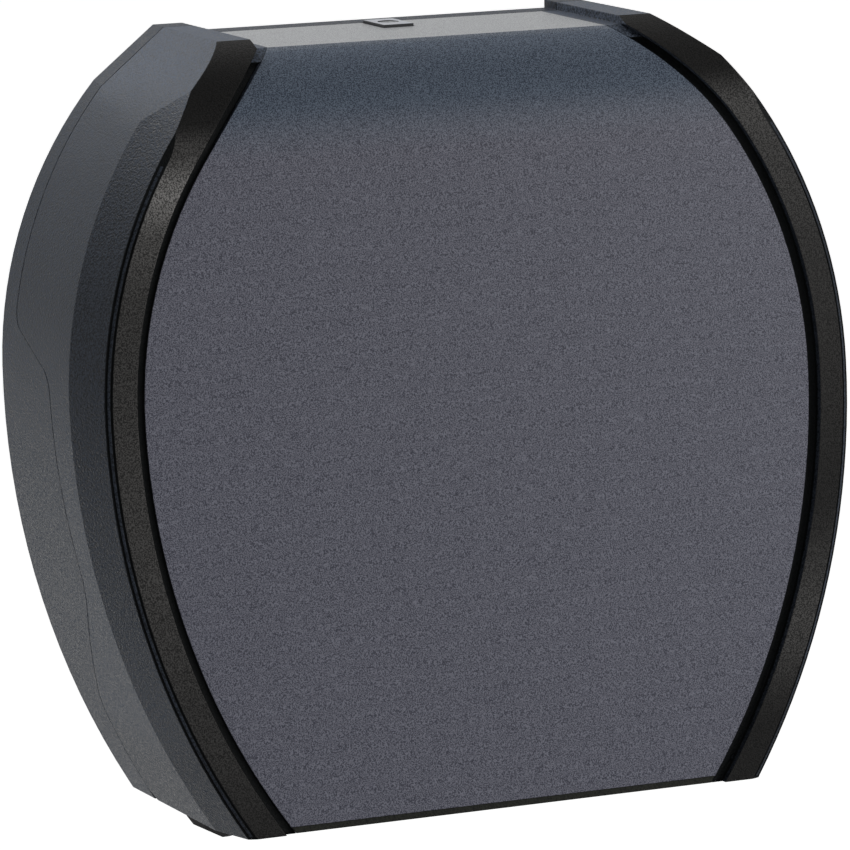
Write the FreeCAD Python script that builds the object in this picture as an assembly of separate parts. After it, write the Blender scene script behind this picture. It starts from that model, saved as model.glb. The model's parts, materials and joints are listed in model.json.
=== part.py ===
import FreeCAD, Part
import math
import os
from FreeCAD import Vector

# Wall-hung dispenser for one jumbo toilet roll. Lengths are in millimetres.
# The wall face is y = 0, the front looks towards -y, and z = 0 is the middle of the case height.

# Case outline, seen from the front
case_height = 327.0
case_depth = 125.0
crest_width = 360.0
rim_width = 348.6
back_width = 348.0
front_lean = 4.53
crest_setback = 25.0
rim_setback = 1.5
rim_bevel = 3.0
rim_waist_drop = 151.5
crest_waist_drop = 148.5
back_waist_drop = 138.5
rim_foot_width = 241.76
crest_foot_width = 250.2
back_foot_width = 237.8
rim_shoulder = 15.51
crest_shoulder = 38.36
back_shoulder = 28.11
back_top_width = 200.6
rim_top_width = 204.4
steepest_angle = 65.0
shoulder_angle = 37.95
top_rise = 2.0
lid_depth = 48.87
brow_cut = 4.24
wall = 3.0
inner_steps = 6
overrun = 20.0

# Rib, ledge and window of the cheeks, measured in from the rim
rib_width = 13.95
ledge_width = 4.3
ledge_drop = 2.6
flange_width = 6.0
front_wall = 5.0
centre_drop = 3.5
window_gap = 0.15

# Stepped parting line of the side walls, from the wall face and from the bottom edge
parting_gap = 0.5
parting_top = 11.5
parting_step = 15.5
parting_step_height = 208.5
lug_reach_upper = 60.0
lug_upper_height = 190.5
lug_reach_lower = 72.0
lug_lower_height = 101.5
parting_low = 30.0
parting_low_height = 45.5
parting_bottom = 27.0
parting_round = 10.0
lug_round = 14.0
lug_sweep = 25.0

# Smoke panel
panel_thickness = 2.5
panel_lip = 2.6
notch_gap = 0.6

# Cover hinge
hinge_radius = 6.3
hinge_pin_radius = 2.5
hinge_head_radius = 4.2
hinge_head = 1.4
hinge_gap = 0.4
lug_ease = 0.3
pin_fit = 0.05

# Arms of the rear housing
arm_inset = 8.9
arm_width = 6.0
arm_height = 13.5
arm_front_gap = 26.0
arm_chamfer = 3.0
gusset_reach = 24.0
gusset_height = 28.0

# Back plate
back_plate = 3.0
rib_height = 4.0
rib_thickness = 2.4
rib_count = 8
boss_radius = 30.0
boss_height = 2.0
slot_spacing_x = 200.0
slot_spacing_z = 190.0
slot_radius = 2.75
slot_length = 12.0
slot_pad_margin = 6.5
slot_pad_height = 2.0
ring_inset = 9.0
ring_sides = 32

# Roll, core, hub and spindle
roll_foot_gap = 34.5
roll_head_gap = 42.5
roll_panel_gap = 2.75
core_radius = 30.0
core_wall = 1.5
core_sides = 48
sheet_step = 0.6
spindle_radius = 9.0
flange_radius = 24.0
flange_thickness = 2.5
washer_radius = 14.0
washer_thickness = 0.8
hub_fit = 0.08
hub_sleeve = 2.8
hub_flange_radius = 40.0
hub_flange = 2.0
hub_fins = 6
hub_fin_thickness = 3.0
hub_fin_gap = 0.35
hub_nose = 6.0
hub_bump = 1.3
hub_ring = 2.2
axial_gap = 0.3
clip_thickness = 1.0
clip_reach = 3.4
clip_groove = 1.0
clip_play = 0.1
clip_mouth_angle = 60.0
clip_sides = 24
bump_setback = 1.0
spindle_tip = 2.2
spindle_chamfer = 1.0

# Screws, shared by every joint
screw_radius = 1.5
screw_fit = 0.05
head_radius = 3.0
head_height = 1.9
head_taper_share = 0.72
sunk_depth = 1.7
sunk_fit = 0.1
screw_sides = 12
screw_pitch_radius = 18.0
spindle_screw_count = 3
spindle_screw_length = 7.0

# Tear bars at the bottom corners
bar_thickness = 3.0
bar_start = 46.0
bar_end_gap = 3.0
bar_height = 12.0
blade_start = 36.0
blade_length = 44.0
blade_drop = 9.5
blade_bevel = 7.0
blade_bevel_rise = 2.5
tooth_reach = 2.5
tooth_height = 2.0
tooth_count = 12
bar_screw_inset = 8.0
bar_screw_length = 7.5

# Lock at the middle of the top
lock_setback = 22.5
tab_width = 14.0
tab_front = 33.0
tab_proud = 1.2
tab_thickness = 4.2
barrel_radius = 6.5
barrel_drop = 12.5
plug_radius = 4.5
plug_fit = 0.05
plug_recess = 0.3
keyway_length = 6.4
keyway_width = 1.1
keyway_step = 1.5
keyway_depth = 5.0
cam_thickness = 2.0
cam_width = 7.0
cam_reach = 18.0
cam_gap = 0.4
foot_width = 20.0
foot_height = 16.0
foot_plate = 3.0
foot_web = 6.0
foot_drop = 5.6

# Cross rails of the cover
rail_thickness = 3.0
rail_height = 14.0
rail_foot = 9.0
rail_gap = 0.3
rail_overlap = 9.0
rail_screw_inset = 13.0
rail_end = 5.0
top_rail_front = 60.0
top_rail_back = 42.0
top_rail_drop = 13.0
top_screw_inset = 10.15
rail_screw_length = 7.0
boss_wall = 2.2

# Keeper
keeper_thickness = 1.5
keeper_width = 12.0
keeper_offset = 8.0
keeper_back = 16.7
keeper_drop = 2.0
keeper_lip = 8.0
keeper_flange = 9.5
keeper_screw_spacing = 6.0


# Derived places
bottom_z = -case_height / 2
top_z = case_height / 2
lean = math.radians(front_lean)
slope = math.tan(lean)
shoulder = math.radians(shoulder_angle)
steepest = math.radians(steepest_angle)
ceiling = top_z - centre_drop
ledge_inset = rib_width + ledge_width
front_inner = ledge_drop + front_wall
wide = crest_width + overrun
brow_room = case_depth - lid_depth - slope * (case_height + brow_cut)
brow_radius = brow_room / (math.cos(lean) - slope * (1 - math.sin(lean)))
brow_drop = brow_radius * (1 - math.sin(lean)) - brow_cut
roll_radius = (case_height - roll_foot_gap - roll_head_gap) / 2
roll_z = bottom_z + roll_foot_gap + roll_radius
ring_radius = roll_radius - ring_inset
hub_back = back_plate + boss_height + flange_thickness + washer_thickness + axial_gap
roll_back = hub_back + hub_flange
hinge_y = -(parting_low + hinge_radius)
hinge_z = bottom_z + hinge_radius
parting_slant = (parting_low - parting_bottom) / parting_low_height
corner_radius = -hinge_y - parting_gap - parting_bottom - parting_slant * hinge_radius
arm_inner = back_foot_width / 2 - arm_inset
arm_outer = arm_inner + arm_width
arm_reach = case_depth - arm_front_gap
bar_end = arm_reach - bar_end_gap
lug_inner = arm_outer + hinge_gap


def front_y(z, inset):
    """Front plane of the case at height z, moved in by inset."""
    return -case_depth + slope * (z - bottom_z) + inset / math.cos(lean)


roll_front = -front_y(roll_z + roll_radius, ledge_drop + panel_thickness) - roll_panel_gap
roll_width = roll_front - roll_back
hub_front = roll_front + hub_nose


def arc_radius(inward, along):
    """Radius of an arc that starts upright and has moved inward after a height of along."""
    return (inward ** 2 + along ** 2) / (2 * inward)


class Outline:
    """Half outline of the case: waist, upper and lower arcs, a shoulder line and a flat top."""

    def __init__(self, width, waist_drop, foot_width, shoulder_run, top_width, top):
        self.half = width / 2
        self.waist = top_z - waist_drop
        self.top_x = top_width / 2
        self.top = top
        kink_x = self.top_x + shoulder_run
        kink_z = top - shoulder_run * math.tan(shoulder)
        self.upper = arc_radius(self.half - kink_x, kink_z - self.waist)
        self.lower = arc_radius(self.half - foot_width / 2, self.waist - bottom_z)

    def radius(self, z, inset):
        return (self.upper if z > self.waist else self.lower) - inset

    def arc_end(self, z, inset):
        """Height z, or where the arc towards it becomes too steep."""
        limit = self.radius(z, inset) * math.sin(steepest)
        return max(min(z, self.waist + limit), self.waist - limit)

    def x(self, z, inset):
        """Half width at height z, moved in by inset. Beyond its arc the outline runs straight."""
        radius = self.radius(z, inset)
        end = self.arc_end(z, inset)
        across = self.half - inset - radius + math.sqrt(radius ** 2 - (end - self.waist) ** 2)
        return across - abs(z - end) * math.tan(steepest)

    def middle(self, z, inset):
        """Point on the arc halfway between the waist and height z."""
        radius = self.radius(z, inset)
        angle = math.asin((z - self.waist) / radius) / 2
        centre = self.half - inset - radius
        return centre + radius * math.cos(angle), self.waist + radius * math.sin(angle)

    def shoulder_points(self, inset):
        """Kink on the upper arc and corner at the top, for the shoulder line moved in by inset."""
        start_x = self.top_x - inset * math.sin(shoulder)
        start_z = self.top - inset * math.cos(shoulder)
        centre_x = self.half - self.upper
        radius = self.upper - inset
        along = math.cos(shoulder), -math.sin(shoulder)
        away_x = start_x - centre_x
        away_z = start_z - self.waist
        middle = away_x * along[0] + away_z * along[1]
        excess = away_x ** 2 + away_z ** 2 - radius ** 2
        step = -middle + math.sqrt(middle ** 2 - excess)
        kink = start_x + step * along[0], start_z + step * along[1]
        flat = self.top - inset
        back = (start_z - flat) / math.sin(shoulder)
        corner = start_x + back * along[0], flat
        return kink, corner


rim = Outline(rim_width, rim_waist_drop, rim_foot_width, rim_shoulder, rim_top_width, top_z)
crest = Outline(crest_width, crest_waist_drop, crest_foot_width, crest_shoulder, rim_top_width, top_z)
back = Outline(back_width, back_waist_drop, back_foot_width, back_shoulder, back_top_width, top_z + top_rise)


def box(x0, x1, y0, y1, z0, z1):
    return Part.makeBox(x1 - x0, y1 - y0, z1 - z0, Vector(x0, y0, z0))


def rod(radius, start, end):
    axis = end - start
    return Part.makeCylinder(radius, axis.Length, start, axis)


def ring(outer, inner, start, end):
    return rod(outer, start, end).cut(rod(inner, start, end))


def mirror_x(shape):
    return shape.mirror(Vector(0, 0, 0), Vector(1, 0, 0))


def both_sides(shape):
    return Part.makeCompound([shape, mirror_x(shape)])


def chord_levels(low, waist, high, steps):
    """Heights that split the lower and the upper arc into equal numbers of chords."""
    levels = [low + (waist - low) * index / steps for index in range(steps)]
    return levels + [waist + (high - waist) * index / steps for index in range(steps + 1)]


def outline_wire(outline, inset, setback, low, steps=0):
    """Closed outline in a plane parallel to the front, or upright when setback is None.

    With steps, each arc is drawn as that many straight chords.
    """

    def place(x, z):
        if setback is None:
            return Vector(x, 0, z)
        return Vector(x, front_y(z, setback), z)

    kink, corner = outline.shoulder_points(inset)
    foot = outline.x(low, inset), low
    waist = outline.half - inset, outline.waist
    if steps:
        levels = chord_levels(low, outline.waist, kink[1], steps)
        points = [place(outline.x(z, inset), z) for z in levels] + [place(*corner)]
        points += [Vector(-point.x, point.y, point.z) for point in reversed(points)]
        return Part.makePolygon(points + points[:1])
    right = [
        Part.Arc(place(*foot), place(*outline.middle(low, inset)), place(*waist)).toShape(),
        Part.Arc(place(*waist), place(*outline.middle(kink[1], inset)), place(*kink)).toShape(),
        Part.makeLine(place(*kink), place(*corner)),
    ]
    left = [mirror_x(edge) for edge in reversed(right)]
    top_line = Part.makeLine(place(*corner), place(-corner[0], corner[1]))
    low_line = Part.makeLine(place(-foot[0], foot[1]), place(*foot))
    return Part.Wire(Part.__sortEdges__(right + [top_line] + left + [low_line]))


def cheek_prism(inset, lip, steps=0):
    """Upright prism along y inside the rim, with straight sides above the centre top.

    With steps, each arc is drawn as that many straight chords.
    """
    low = bottom_z + lip
    high = top_z + overrun
    straight = ceiling + window_gap
    foot_x = rim.x(low, inset)
    top_x = rim.x(straight, inset)
    start = -case_depth - overrun
    through = Vector(0, case_depth + 2 * overrun, 0)

    def place(x, z):
        return Vector(x, start, z)

    if steps:
        points = [place(rim.x(z, inset), z) for z in chord_levels(low, rim.waist, straight, steps)]
        points.append(place(top_x, high))
        points += [Vector(-point.x, point.y, point.z) for point in reversed(points)]
        return Part.Face(Part.makePolygon(points + points[:1])).extrude(through)
    foot_end = rim.arc_end(low, inset)
    top_end = rim.arc_end(straight, inset)
    waist = place(rim.half - inset, rim.waist)
    arc_foot = place(rim.x(foot_end, inset), foot_end)
    arc_top = place(rim.x(top_end, inset), top_end)
    right = [
        Part.Arc(arc_foot, place(*rim.middle(foot_end, inset)), waist).toShape(),
        Part.Arc(waist, place(*rim.middle(top_end, inset)), arc_top).toShape(),
    ]
    if foot_end > low:
        right.insert(0, Part.makeLine(place(foot_x, low), arc_foot))
    if top_end < straight:
        right.append(Part.makeLine(arc_top, place(top_x, straight)))
    right.append(Part.makeLine(place(top_x, straight), place(top_x, high)))
    left = [mirror_x(edge) for edge in reversed(right)]
    edges = right + [Part.makeLine(place(top_x, high), place(-top_x, high))] + left
    edges.append(Part.makeLine(place(-foot_x, low), place(foot_x, low)))
    face = Part.Face(Part.Wire(Part.__sortEdges__(edges)))
    return face.extrude(through)


def side_face(edges):
    """Face in the plane of symmetry, spread to both sides as a solid."""
    face = Part.Face(Part.Wire(Part.__sortEdges__(edges)))
    face.translate(Vector(-wide / 2, 0, 0))
    return face.extrude(Vector(wide, 0, 0))


def brow_centre():
    start_z = top_z - brow_drop
    start_y = front_y(start_z, 0)
    return start_y + brow_radius * math.cos(lean), start_z - brow_radius * math.sin(lean)


def profile(inset, drop, low):
    """Everything behind the leaning front and brow moved in by inset, and below the top by drop."""
    centre_y, centre_z = brow_centre()
    radius = brow_radius - inset
    if drop is None:
        lid = [(centre_y, top_z + overrun), (overrun, top_z + overrun)]
        turn_y, turn_z = centre_y, centre_z + radius
    else:
        fall = top_rise / brow_top_depth
        base = top_z + top_rise - drop - centre_z
        lead = base + fall * centre_y
        square = 1 + fall ** 2
        half = fall * lead
        offset = (-half - math.sqrt(half ** 2 - square * (lead ** 2 - radius ** 2))) / square
        turn_y = centre_y + offset
        turn_z = centre_z + lead + fall * offset
        lid = [(overrun, top_z + top_rise - drop + fall * overrun)]
    start = Vector(0, front_y(low, inset), low)
    tangent = Vector(0, centre_y - radius * math.cos(lean), centre_z + radius * math.sin(lean))
    turn = Vector(0, turn_y, turn_z)
    first = math.pi - lean
    last = math.atan2(turn_z - centre_z, turn_y - centre_y)
    middle = (first + last) / 2
    mid = Vector(0, centre_y + radius * math.cos(middle), centre_z + radius * math.sin(middle))
    edges = [Part.makeLine(start, tangent), Part.Arc(tangent, mid, turn).toShape()]
    points = [turn] + [Vector(0, y, z) for y, z in lid] + [Vector(0, overrun, low), start]
    edges += [Part.makeLine(a, b) for a, b in zip(points, points[1:])]
    return side_face(edges)


def rounded_path(points, radii):
    """Edges along points, with an arc of its own radius at each inner point."""
    edges = []
    last = points[0]
    for before, corner, after, radius in zip(points, points[1:], points[2:], radii):
        enter = (before - corner).normalize()
        leave = (after - corner).normalize()
        half = enter.getAngle(leave) / 2
        reach = radius / math.tan(half)
        start = corner + enter * reach
        end = corner + leave * reach
        inward = (enter + leave).normalize()
        middle = corner + inward * (radius / math.sin(half) - radius)
        edges += [Part.makeLine(last, start), Part.Arc(start, middle, end).toShape()]
        last = end
    edges.append(Part.makeLine(last, points[-1]))
    return edges


def parting_reach(height):
    """Distance of the upper part of the parting line from the wall face."""
    rate = (parting_step - parting_top) / (case_height - parting_step_height)
    return parting_top + rate * (case_height - height)


def parting_points(gap):
    """Parting line from above the top to below the bottom, moved forward by gap."""
    step = gap * math.tan(math.atan2(lug_reach_upper - parting_step,
                                     parting_step_height - lug_upper_height) / 2)
    tuck = gap * math.tan(math.atan2(lug_reach_lower - parting_low,
                                     lug_lower_height - parting_low_height) / 2)
    above = case_height + overrun
    below = parting_bottom - parting_slant * overrun
    pairs = [
        (parting_reach(above) + gap, above),
        (parting_step + gap, parting_step_height + step),
        (lug_reach_upper + gap, lug_upper_height + step),
        (lug_reach_lower + gap, lug_lower_height - tuck),
        (parting_low + gap, parting_low_height - tuck),
        (below + gap, -overrun),
    ]
    return [Vector(0, -reach, bottom_z + height) for reach, height in pairs]


def rear_zone(gap):
    """Everything behind the parting line."""
    points = parting_points(gap)
    edges = rounded_path(points, [parting_round, lug_round, lug_sweep, lug_sweep])
    top_back = Vector(0, overrun, points[0].z)
    low_back = Vector(0, overrun, points[-1].z)
    tail = [points[-1], low_back, top_back, points[0]]
    edges += [Part.makeLine(a, b) for a, b in zip(tail, tail[1:])]
    return side_face(edges)


brow_top_depth = -brow_centre()[0] + math.sqrt(brow_radius ** 2 - (top_z - brow_centre()[1]) ** 2)


top_fall = top_rise / brow_top_depth
into_wall = Vector(0, 1, 0)
to_front = Vector(0, -1, 0)
outward = Vector(1, 0, 0)
upright = Vector(0, 0, 1)
out_of_front = Vector(0, -math.cos(lean), math.sin(lean))
out_of_top = Vector(0, -top_fall, 1).normalize()


def top_height(y, drop):
    """Height of the top at depth y, lowered by drop."""
    return top_z + top_rise - drop + top_fall * y


def outer_form():
    """Outside of the whole case, with the window region sunk below the ribs."""
    wires = [
        outline_wire(back, 0, None, bottom_z),
        outline_wire(crest, 0, crest_setback, bottom_z),
        outline_wire(rim, 0, rim_setback, bottom_z),
        outline_wire(rim, rim_bevel, 0, bottom_z),
    ]
    form = Part.makeLoft(wires, True, True).common(profile(0, None, bottom_z - overrun))
    middle = cheek_prism(rib_width, -overrun)
    return form.cut(middle.cut(profile(ledge_drop, centre_drop, bottom_z - 2 * overrun)))


def interior(front, drop):
    """Space in the case: its middle stays front behind the ribs and drop below the cheek tops."""
    low = bottom_z - wall
    wires = [
        outline_wire(back, wall, None, low, inner_steps),
        outline_wire(crest, wall, crest_setback, low, inner_steps),
        outline_wire(rim, wall, rim_setback, low, inner_steps),
    ]
    space = Part.makeLoft(wires, True, True).common(profile(wall, wall, low - overrun))
    middle = cheek_prism(rib_width - wall, -2 * overrun, inner_steps)
    return space.cut(middle.cut(profile(front, drop, low - 2 * overrun)))


outer_case = outer_form()
cover_space = interior(front_inner, centre_drop + front_wall)
housing_space = interior(front_inner, centre_drop + wall)
housing_zone = rear_zone(0)
cover_clearance = rear_zone(parting_gap)


def around(radius, sides):
    """Corner radius of a polygon whose flats touch a circle."""
    return radius / math.cos(math.pi / sides)


def prism(radius, start, end, sides, end_radius=None):
    """Straight or tapered prism with its corners on a circle."""
    axis = (end - start).normalize()
    across = axis.cross(outward)
    if across.Length < 1 / 2:
        across = axis.cross(upright)
    across.normalize()
    upward = axis.cross(across)
    ends = []
    for middle, reach in ((start, radius), (end, end_radius or radius)):
        points = []
        for index in range(sides):
            angle = 2 * math.pi * (index + 1 / 2) / sides
            points.append(middle + across * (reach * math.cos(angle)) + upward * (reach * math.sin(angle)))
        ends.append(points + points[:1])
    low, high = ends
    outlines = [low[::-1], high]
    for index in range(sides):
        outlines.append([low[index], low[index + 1], high[index + 1], high[index], low[index]])
    faces = [Part.Face(Part.makePolygon(points)) for points in outlines]
    solid = Part.Solid(Part.Shell(faces))
    if solid.Volume < 0:
        solid.reverse()
    return solid


def hoop(outer, inner, start, end, sides):
    """Ring with flat sides: corners of both outlines on a circle."""
    return prism(outer, start, end, sides).cut(prism(inner, start, end, sides))


def screw(head_at, direction, length):
    """Pan-head screw: the head's seat is at head_at and the shank runs along direction."""
    head = prism(head_radius, head_at, head_at - direction * head_height, screw_sides,
                 end_radius=head_radius * head_taper_share)
    shank = prism(screw_radius, head_at, head_at + direction * length, screw_sides)
    return head.fuse(shank).removeSplitter()


def screw_hole(head_at, direction, length):
    radius = screw_radius + screw_fit
    return prism(radius, head_at - direction * overrun, head_at + direction * length, screw_sides)


def sunk_cone(head_at, direction, fit):
    end = head_at + direction * (sunk_depth + fit)
    return prism(head_radius + fit, head_at, end, screw_sides, end_radius=screw_radius + fit)


def sunk_screw(head_at, direction, length):
    """Countersunk screw, just below the face that head_at lies on."""
    seat = head_at + direction * sunk_fit
    shank = prism(screw_radius, seat, head_at + direction * length, screw_sides)
    return sunk_cone(seat, direction, 0).fuse(shank).removeSplitter()


def spindle_screw_places():
    places = []
    for index in range(spindle_screw_count):
        angle = math.radians(90 + 360 * index / spindle_screw_count)
        x = screw_pitch_radius * math.cos(angle)
        z = roll_z + screw_pitch_radius * math.sin(angle)
        places.append(Vector(x, -(back_plate + boss_height + flange_thickness), z))
    return places


def bar_screw_places():
    z = bottom_z + bar_height / 2
    inner = arm_inner - bar_thickness
    return [Vector(inner, -(bar_start + bar_screw_inset), z), Vector(inner, -(bar_end - bar_screw_inset), z)]


def slot_places():
    return [(side * slot_spacing_x / 2, level * slot_spacing_z / 2) for side in (1, -1) for level in (1, -1)]


def slot(radius, length, x, z, depth):
    """Rounded slot along x, cut from the wall face to depth."""
    half = length / 2 - radius
    start = Vector(0, overrun, 0)
    end = Vector(0, -depth, 0)
    left = Vector(x - half, 0, z)
    right = Vector(x + half, 0, z)
    middle = box(x - half, x + half, -depth, overrun, z - radius, z + radius)
    return middle.fuse([rod(radius, left + start, left + end), rod(radius, right + start, right + end)])


def foot_screw_places():
    y = -(back_plate + foot_plate)
    spread = foot_width / 2 - head_radius - screw_fit
    z = foot_top() - foot_height / 2
    return [Vector(spread, y, z), Vector(-spread, y, z)]


def foot_top():
    return top_height(0, centre_drop + foot_drop)


def lock_floor():
    return top_height(-lock_setback, centre_drop) - barrel_drop


def slot_pad(x, z, depth):
    """Square-cornered pad round a wall slot."""
    half = slot_length / 2 + slot_pad_margin
    rise = slot_radius + slot_pad_margin
    return box(x - half, x + half, -depth, 0, z - rise, z + rise)


def plate_ribs():
    """Spokes from the boss and a ring, on the inside of the back plate."""
    inside = -(back_plate + rib_height)
    hub = Vector(0, 0, roll_z)
    rim_end = hub + Vector(0, inside, 0)
    ribs = [hoop(ring_radius + rib_thickness, ring_radius, hub, rim_end, ring_sides)]
    for index in range(rib_count):
        start = boss_radius - rib_thickness
        rib = box(start, crest_width, inside, 0, -rib_thickness / 2, rib_thickness / 2)
        rib.rotate(Vector(0, 0, 0), into_wall, 360 * (index + 1 / 2) / rib_count)
        rib.translate(hub)
        ribs.append(rib)
    web = ribs[0].fuse(ribs[1:]).common(housing_space).common(outer_case)
    return web.cut([slot_pad(x, z, case_depth) for x, z in slot_places()])


def rear_housing():
    """Back plate, stepped side walls, top strip and sill in one moulding."""
    plate = outer_case.common(box(-wide / 2, wide / 2, -back_plate, 0, bottom_z, top_z + overrun))
    sill = outer_case.common(box(-wide / 2, wide / 2, -case_depth, 0, bottom_z, bottom_z + wall))
    body = outer_case.cut(housing_space).fuse([plate, sill]).common(housing_zone)
    hub = Vector(0, 0, roll_z)
    boss = prism(boss_radius, hub, hub - Vector(0, back_plate + boss_height, 0), ring_sides)
    pads = [slot_pad(x, z, back_plate + slot_pad_height) for x, z in slot_places()]
    body = body.fuse([plate_ribs(), boss, arm(), mirror_x(arm())] + pads)
    holes = [screw_hole(place, into_wall, spindle_screw_length) for place in spindle_screw_places()]
    for place in foot_screw_places():
        holes.append(screw_hole(place, into_wall, foot_plate + back_plate - window_gap))
    for place in bar_screw_places():
        hole = screw_hole(place, outward, bar_screw_length)
        holes += [hole, mirror_x(hole)]
    for x, z in slot_places():
        holes.append(slot(slot_radius, slot_length, x, z, case_depth))
    bore = around(hinge_pin_radius + pin_fit, clip_sides)
    pin_bore = prism(bore, Vector(arm_inner - wall, hinge_y, hinge_z),
                     Vector(arm_outer + wall, hinge_y, hinge_z), clip_sides)
    return body.cut(holes + [pin_bore, mirror_x(pin_bore)]).removeSplitter()


def arm():
    """Right arm: it carries a hinge pin and a tear bar, and a gusset stiffens it."""
    high = bottom_z + arm_height
    points = [Vector(0, 0, bottom_z), Vector(0, -(arm_reach - arm_chamfer), bottom_z),
              Vector(0, -arm_reach, bottom_z + arm_chamfer), Vector(0, -arm_reach, high - arm_chamfer),
              Vector(0, -(arm_reach - arm_chamfer), high), Vector(0, -gusset_reach, high),
              Vector(0, 0, high + gusset_height)]
    face = Part.Face(Part.makePolygon(points + points[:1]))
    face.translate(Vector(arm_inner, 0, 0))
    return face.extrude(Vector(arm_width, 0, 0))


def pin_end():
    """Inner face of the side wall at the hinge."""
    share = hinge_y / front_y(hinge_z, crest_setback)
    inner = back.x(hinge_z, wall)
    return inner + share * (crest.x(hinge_z, wall) - inner)


def cheek():
    """Right cheek: side wall, hollow rib, ledge, flange behind the panel and hinge lug."""
    body = outer_case.cut(cover_space)
    foot = cheek_prism(rim_bevel, -overrun).common(outer_case)
    foot = foot.cut(profile(front_inner, None, bottom_z - 2 * overrun))
    foot = foot.common(box(0, wide, -case_depth - overrun, 0, bottom_z, bottom_z + rail_height))
    lug = prism(hinge_radius - lug_ease, Vector(lug_inner, hinge_y, hinge_z),
                Vector(wide, hinge_y, hinge_z), clip_sides)
    post_foot = Vector(top_screw_x(), rail_screw_y(), top_height(rail_screw_y(), centre_drop + front_wall))
    post_radius = screw_radius + boss_wall
    post = prism(post_radius, post_foot, post_foot + out_of_top * overrun, screw_sides)
    body = body.fuse([foot, lug.common(outer_case), post.common(outer_case)])
    rebate = cheek_prism(ledge_inset, -overrun)
    under = panel_thickness + window_gap
    seat = rebate.cut(profile(ledge_drop + under, centre_drop + under, bottom_z - 2 * overrun))
    body = body.cut([cheek_prism(ledge_inset + flange_width, -overrun, inner_steps), seat, cover_clearance])
    body = body.common(box(0, wide, -case_depth - overrun, overrun, bottom_z - overrun, top_z + overrun))
    corner = box(0, wide, hinge_y, 0, bottom_z - overrun, hinge_z)
    corner = corner.cut(rod(corner_radius, Vector(0, hinge_y, hinge_z), Vector(wide, hinge_y, hinge_z)))
    pin_bore = rod(hinge_pin_radius + pin_fit, Vector(lug_inner - wall, hinge_y, hinge_z),
                   Vector(pin_end() + window_gap, hinge_y, hinge_z))
    holes = [screw_hole(place, direction, rail_screw_length) for place, direction in rail_screw_places()]
    return body.cut([corner, pin_bore] + holes).removeSplitter()


def top_screw_x():
    return rim.x(ceiling, top_screw_inset)


def rail_screw_y():
    return -(top_rail_front + top_rail_back) / 2


def rail_screw_places():
    """Right-hand rail screws: seat of the head and direction of the shank."""
    low_z = bottom_z + (rail_height + rail_thickness) / 2
    low_y = front_y(low_z, front_inner + window_gap + rail_thickness)
    low_x = rim.x(low_z, rail_screw_inset)
    seat = top_height(rail_screw_y(), centre_drop + front_wall + window_gap + rail_thickness)
    top = Vector(top_screw_x(), rail_screw_y(), seat)
    return [(Vector(low_x, low_y, low_z), out_of_front), (top, out_of_top)]


def layer(start, end, lid, low):
    """Sheet between two depths behind the leaning front, below the top by lid."""
    return profile(start, lid, low).cut(profile(end, lid, low - overrun))


def bottom_rail():
    """Lower cross rail: the black lip under the panel, and a web whose ends reach behind the cheeks."""
    low = bottom_z
    high = low + rail_height
    sill = low + panel_lip
    behind = ledge_drop + panel_thickness
    inside = cheek_prism(ledge_inset + flange_width + rail_gap, -overrun, inner_steps)
    lip = layer(ledge_drop, behind, None, low).common(cheek_prism(ledge_inset + rail_gap, -overrun))
    lip = lip.common(box(-wide / 2, wide / 2, -case_depth, 0, low, sill))
    foot = box(-wide / 2, wide / 2, front_y(low, behind - window_gap), front_y(low, behind) + rail_foot,
               low, sill)
    depth = front_inner + window_gap + rail_thickness
    web = layer(behind + window_gap, behind + window_gap + rail_thickness, None, low)
    web = web.common(box(-wide / 2, wide / 2, -case_depth, 0, low, high))
    end_inner = rim.x(low, ledge_inset + flange_width) - rail_overlap
    end_outer = rim.x(low, rail_end)
    ends = layer(front_inner + window_gap, depth, None, low)
    ends = ends.common(box(end_inner, end_outer, -case_depth, 0, low + rail_thickness, high))
    root = layer(behind + window_gap, depth, None, low)
    root = root.common(box(end_inner, end_outer, -case_depth, 0, low, high)).common(inside)
    body = lip.fuse([web.fuse(foot).common(inside), ends, mirror_x(ends), root, mirror_x(root)])
    place, direction = rail_screw_places()[0]
    hole = screw_hole(place, direction, rail_screw_length)
    return body.cut([hole, mirror_x(hole)]).removeSplitter()


def lid_layer(start, end):
    """Sheet between two depths below the cheek tops."""
    return profile(front_inner, start, bottom_z).cut(profile(front_inner, end, bottom_z - overrun))


def top_rail():
    """Upper cross rail under the panel, with a lip for the keeper and ends below the cheek tops."""
    under = centre_drop + panel_thickness + window_gap
    ends_at = centre_drop + front_wall + window_gap
    reach = rim.x(ceiling, ledge_inset + flange_width) - rail_gap
    flat = lid_layer(under, under + rail_thickness)
    flat = flat.common(box(-reach, reach, -top_rail_front, -top_rail_back, 0, top_z))
    drop_z = top_height(-top_rail_front, under) - top_rail_drop
    lip = box(-reach, reach, -top_rail_front, -top_rail_front + rail_thickness, drop_z,
              top_height(-top_rail_front, under + rail_thickness / 2))
    ends = lid_layer(ends_at, ends_at + rail_thickness)
    ends = ends.common(box(reach - rail_overlap, top_screw_x() + head_radius + window_gap,
                           -top_rail_front, -top_rail_back, 0, top_z))
    root = lid_layer(under, ends_at + rail_thickness)
    root = root.common(box(reach - rail_overlap, reach, -top_rail_front, -top_rail_back, 0, top_z))
    body = flat.fuse([lip, ends, mirror_x(ends), root, mirror_x(root)])
    place, direction = rail_screw_places()[1]
    hole = screw_hole(place, direction, rail_screw_length)
    holes = [hole, mirror_x(hole)]
    for keeper_place in keeper_screw_places():
        holes.append(screw_hole(keeper_place, to_front, keeper_thickness + rail_thickness + screw_radius))
    return body.cut(holes).removeSplitter()


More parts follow.
